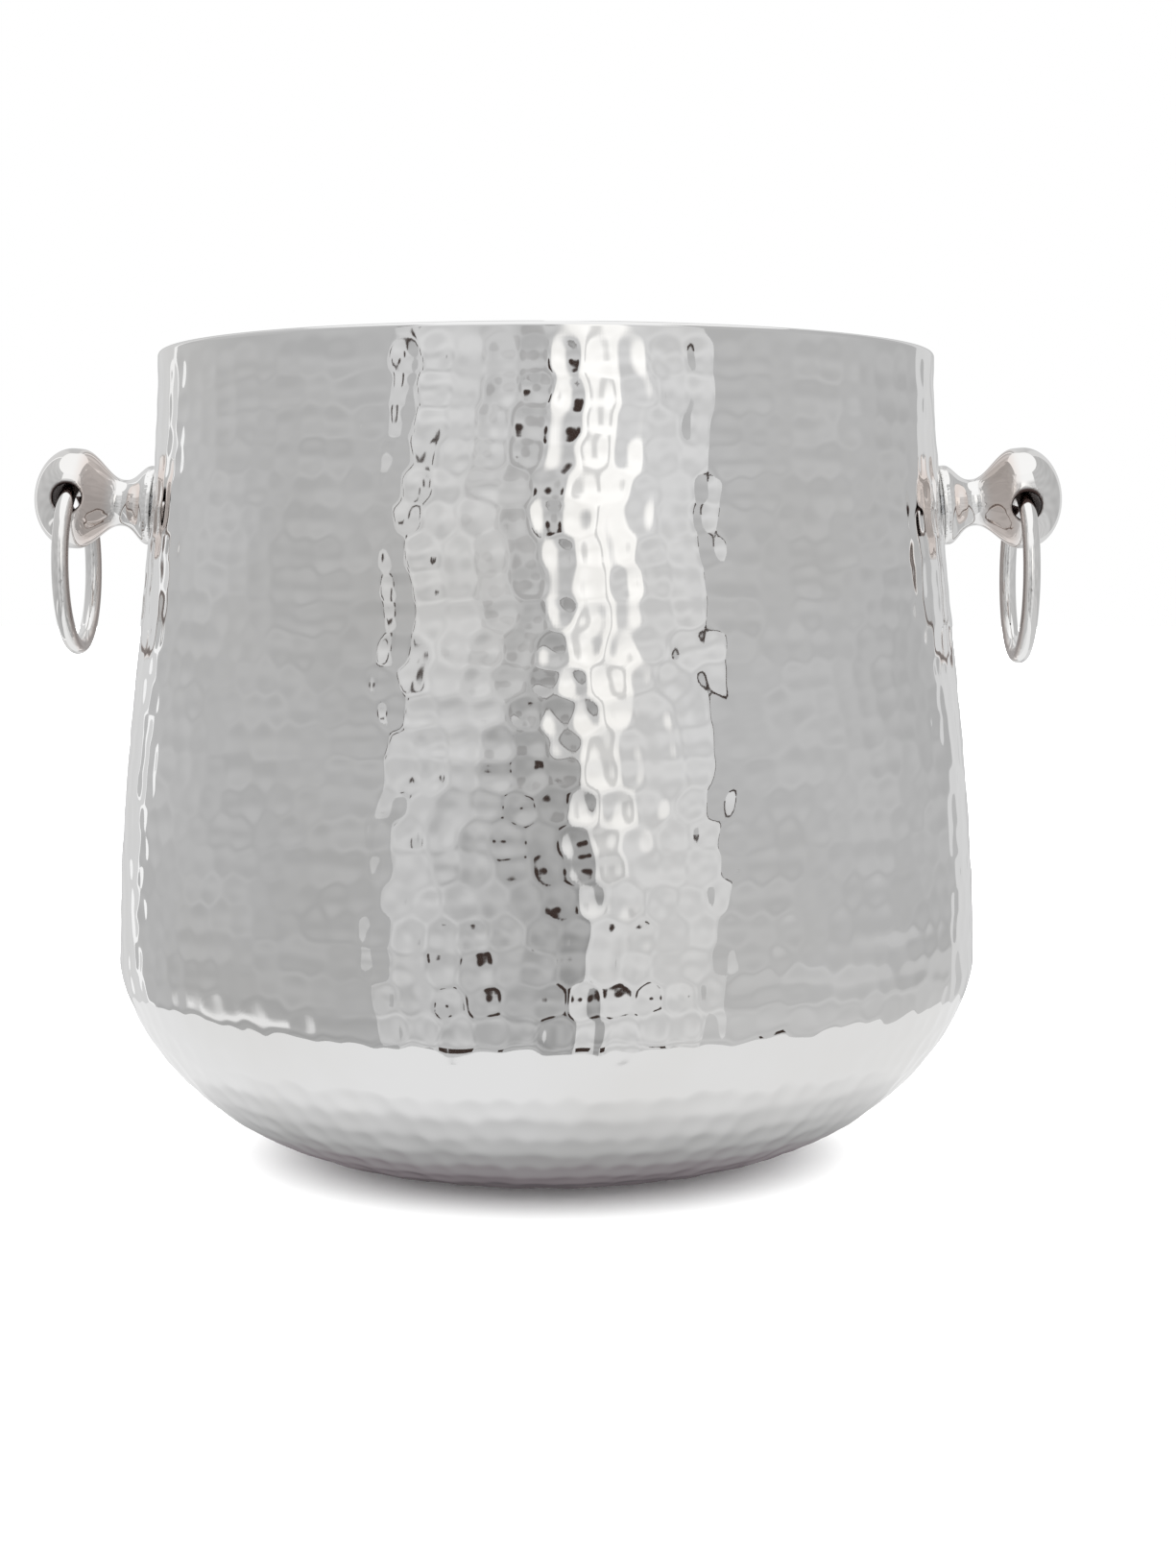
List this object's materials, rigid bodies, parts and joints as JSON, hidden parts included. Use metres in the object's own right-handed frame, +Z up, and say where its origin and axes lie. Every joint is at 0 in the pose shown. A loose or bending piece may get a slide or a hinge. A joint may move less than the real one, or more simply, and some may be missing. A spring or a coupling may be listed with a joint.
{
  "type": "champagne bucket",
  "caption": "Hammered silver champagne bucket with a rounded base, a narrower mouth and a turned ball knob with a loose hanging ring on each side.",
  "frame": {"origin": "centre of the underside, on the surface that the bucket stands on", "axes": "+Z up, +X from the left knob to the right knob, -Y towards the front"},
  "size_m": [0.2576, 0.215, 0.2],
  "materials": {
    "hammered_silver": "mirror-polished, hammered outside",
    "polished_silver": "smooth mirror polish",
    "steel": "plain machined stainless steel",
    "seal_rubber": "matt black"
  },
  "bodies": {
    "bucket": {"shell": "hammered_silver", "knob_left": "polished_silver", "knob_right": "polished_silver", "screw_left": "steel", "screw_right": "steel", "washer_left": "steel", "washer_right": "steel", "seal_left": "seal_rubber", "seal_right": "seal_rubber"},
    "ring_left": {"ring_left": "polished_silver"},
    "ring_right": {"ring_right": "polished_silver"}
  },
  "joints": [
    {"name": "ring_left_swing", "type": "hinge", "parent": "bucket", "child": "ring_left", "pos_m": [-0.11869, 0, 0.16485], "axis": [0, 1, 0], "range_deg": [-22.5, 212]},
    {"name": "ring_right_swing", "type": "hinge", "parent": "bucket", "child": "ring_right", "pos_m": [0.11869, 0, 0.16265], "axis": [0, -1, 0], "range_deg": [-22, 212]}
  ]
}
